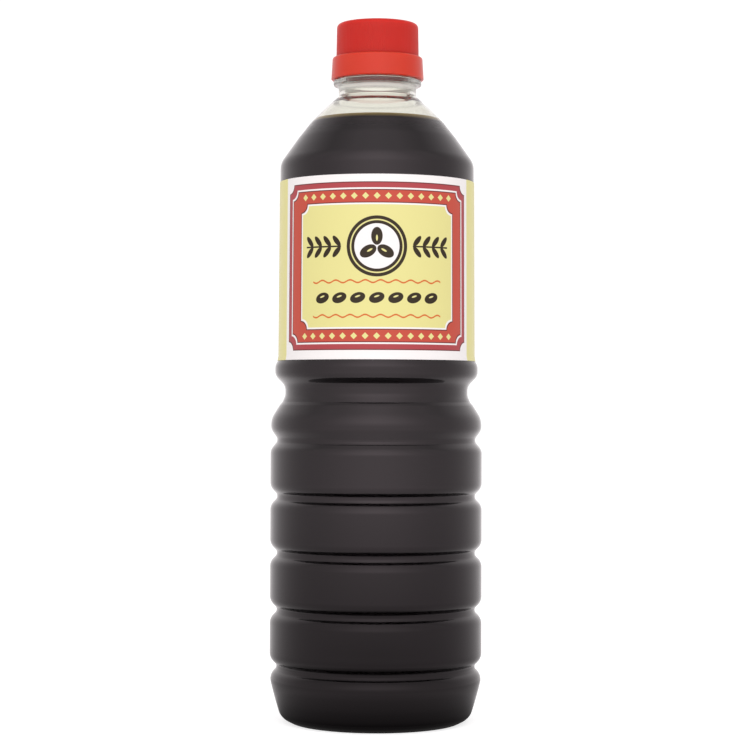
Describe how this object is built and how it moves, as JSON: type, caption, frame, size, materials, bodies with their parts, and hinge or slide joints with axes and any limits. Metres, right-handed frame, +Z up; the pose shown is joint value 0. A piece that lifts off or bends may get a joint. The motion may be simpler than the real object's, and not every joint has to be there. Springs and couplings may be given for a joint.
{
  "type": "soy sauce bottle",
  "caption": "Clear one-litre plastic bottle of dark soy sauce with a grooved body, pinched waist, wrap-round label and red screw cap.",
  "frame": {"origin": "centre of the standing ring, on the table plane", "axes": "+Z up along the bottle's axis, label front towards -Y"},
  "size_m": [0.0808, 0.0808, 0.2665],
  "materials": {
    "clear_plastic": "clear glossy blown plastic",
    "dark_sauce": "liquid, near-black brown",
    "printed_film": "printed satin film",
    "collar_red": "smooth moulded",
    "cap_red": "moulded with fine upright ribs"
  },
  "bodies": {
    "root": {"bottle": "clear_plastic", "soy_sauce": "dark_sauce", "label": "printed_film", "pour_collar": "collar_red", "screw_cap": "cap_red"}
  },
  "joints": []
}
